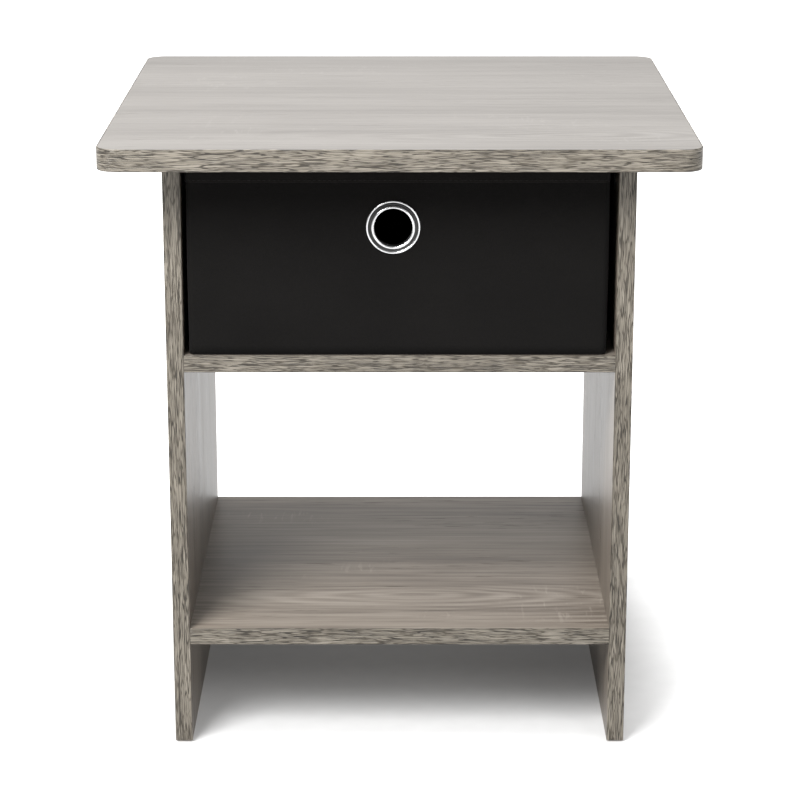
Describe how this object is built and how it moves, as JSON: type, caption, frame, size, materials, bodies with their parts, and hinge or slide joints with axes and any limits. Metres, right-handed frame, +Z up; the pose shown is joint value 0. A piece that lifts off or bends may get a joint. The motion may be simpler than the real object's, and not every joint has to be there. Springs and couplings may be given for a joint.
{
  "type": "side table",
  "caption": "Square side table with rounded top corners, panel sides, an open lower shelf and a slide-out black fabric bin with a metal eyelet as its drawer.",
  "frame": {"origin": "on the floor under the middle of the top", "axes": "+Z up, the front with the bin faces -Y, +X to the right seen from the front"},
  "size_m": [0.4, 0.4, 0.44],
  "materials": {
    "laminate_board": "particle board faced with a satin grey oak grain paper",
    "edge_band": "thin edge band with a coarse brushed grey oak grain",
    "zinc": "bare die-cast zinc",
    "zinc_plated_steel": "bright zinc plated",
    "beech": "bare turned beech",
    "cover_disc": "grey film printed to match the boards",
    "glide_plastic": "dark moulded plastic",
    "bin_fabric": "black non-woven fabric, matte with a fine embossed texture",
    "lining_fabric": "black non-woven lining",
    "binding_tape": "black woven tape",
    "card": "grey-brown card board",
    "eyelet_chrome": "bright plated"
  },
  "bodies": {
    "table": {"top_panel": "laminate_board", "top_edge_band": "edge_band", "left_side_panel": "laminate_board", "right_side_panel": "laminate_board", "middle_shelf": "laminate_board", "bottom_shelf": "laminate_board", "back_panel": "laminate_board", "left_side_front_band": "edge_band", "right_side_front_band": "edge_band", "middle_shelf_front_band": "edge_band", "bottom_shelf_front_band": "edge_band", "left_side_rear_band": "edge_band", "right_side_rear_band": "edge_band", "middle_shelf_rear_band": "edge_band", "bottom_shelf_rear_band": "edge_band", "cam_locks": "zinc", "cam_bolts": "zinc_plated_steel", "top_dowels": "beech", "shelf_dowels": "beech", "middle_shelf_screws": "zinc_plated_steel", "bottom_shelf_screws": "zinc_plated_steel", "back_panel_screws": "zinc_plated_steel", "screw_covers": "cover_disc", "foot_glides": "glide_plastic"},
    "bin": {"bin_bottom_fabric": "bin_fabric", "bin_wall_fabric": "bin_fabric", "bin_lining": "lining_fabric", "rim_binding": "binding_tape", "front_stiffener": "card", "back_stiffener": "card", "left_stiffener": "card", "right_stiffener": "card", "eyelet_ring": "eyelet_chrome", "eyelet_washer": "eyelet_chrome"},
    "base_board": {"base_board_core": "card", "base_board_cover": "bin_fabric"}
  },
  "joints": [
    {"name": "bin_slide", "type": "slide", "parent": "table", "child": "bin", "axis": [0, -1, 0], "range_m": [0, 0.27]},
    {"name": "base_board_lift", "type": "slide", "parent": "bin", "child": "base_board", "axis": [0, 0, 1], "range_m": [0, 0.1]}
  ]
}
